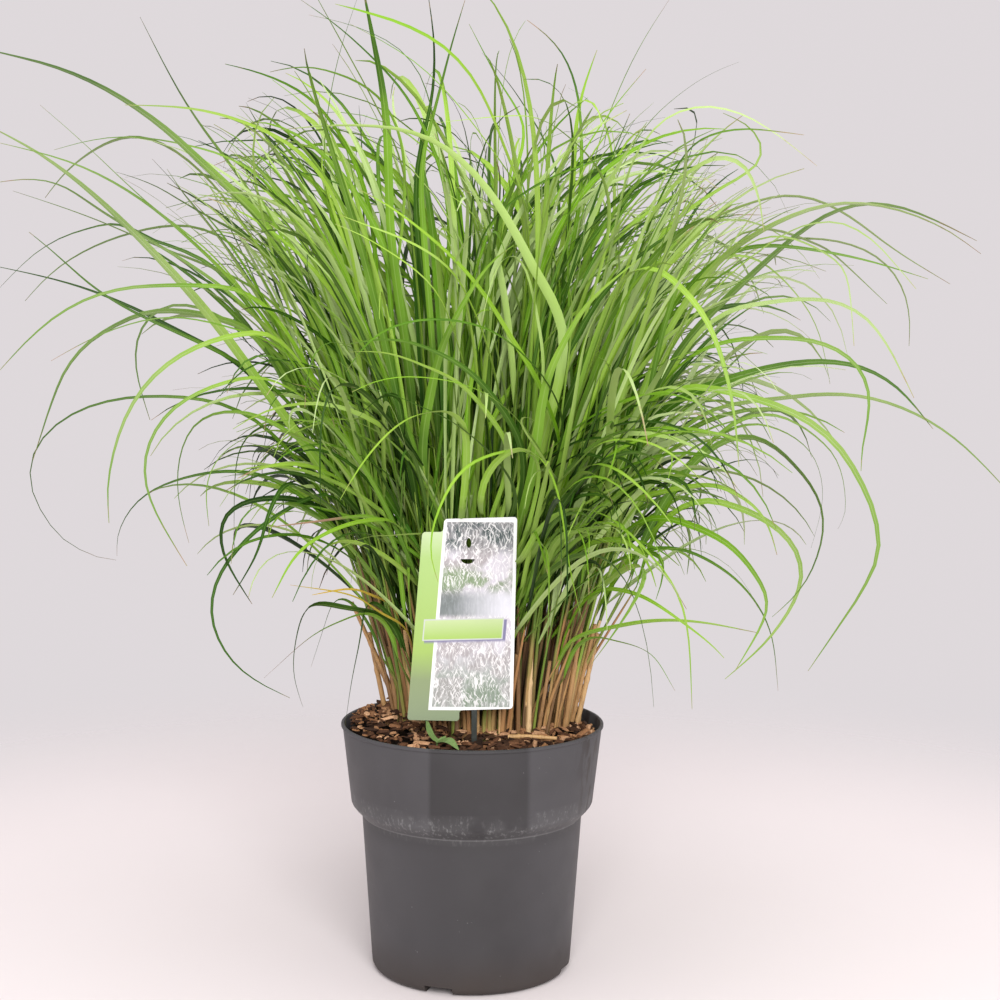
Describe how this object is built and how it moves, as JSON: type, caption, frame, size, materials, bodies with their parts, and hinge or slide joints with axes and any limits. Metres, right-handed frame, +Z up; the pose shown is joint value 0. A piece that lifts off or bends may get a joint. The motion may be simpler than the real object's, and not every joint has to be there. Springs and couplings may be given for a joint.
{
  "type": "potted miscanthus grass clump",
  "caption": "Fountain-shaped clump of arching ornamental grass in a collared nursery pot, with mulch, cut canes and a plain picture label.",
  "frame": {"origin": "middle of the pot's flat base, on the surface it stands on", "axes": "+Z up, -Y towards the front that the label faces, +X to the right as seen from the front"},
  "size_m": [1.2607, 0.9987, 1.1167],
  "materials": {
    "pot_plastic": "dark grey moulded plastic, fine matt texture with pale scuffs",
    "growing_medium": "dark peat and bark",
    "green_leaf": "satin green grass blades with a pale midrib and dry tips",
    "dry_cane": "dry tan cane with darker joints",
    "label_print": "glossy printed card, green with a pale picture of streaks",
    "label_stake": "dark green-grey plastic",
    "seedling_leaf": "soft green leaf"
  },
  "bodies": {
    "root": {"pot": "pot_plastic", "growing_medium": "growing_medium", "loose_cane": "dry_cane", "seedling": "seedling_leaf", "label_card": "label_print", "label_stake": "label_stake", "shoot_01": "green_leaf", "shoot_02": "green_leaf", "shoot_03": "green_leaf", "shoot_04": "green_leaf", "shoot_05": "green_leaf", "shoot_06": "green_leaf", "shoot_07": "green_leaf", "shoot_08": "green_leaf", "shoot_09": "green_leaf", "shoot_10": "green_leaf", "shoot_11": "green_leaf", "shoot_12": "green_leaf", "shoot_13": "green_leaf", "shoot_14": "green_leaf", "shoot_15": "green_leaf", "shoot_16": "green_leaf", "shoot_17": "green_leaf", "shoot_18": "green_leaf", "shoot_19": "green_leaf", "shoot_20": "green_leaf", "shoot_21": "green_leaf", "shoot_22": "green_leaf", "shoot_23": "green_leaf", "shoot_24": "green_leaf", "shoot_25": "green_leaf", "shoot_26": "green_leaf", "shoot_27": "green_leaf", "shoot_28": "green_leaf", "shoot_29": "green_leaf", "shoot_30": "green_leaf", "shoot_31": "green_leaf", "shoot_32": "green_leaf", "shoot_33": "green_leaf", "shoot_34": "green_leaf", "shoot_35": "green_leaf", "shoot_36": "green_leaf", "old_cane_1": "dry_cane", "old_cane_2": "dry_cane", "old_cane_3": "dry_cane", "old_cane_4": "dry_cane", "old_cane_5": "dry_cane", "old_cane_6": "dry_cane", "old_cane_7": "dry_cane", "old_cane_8": "dry_cane"}
  },
  "joints": []
}
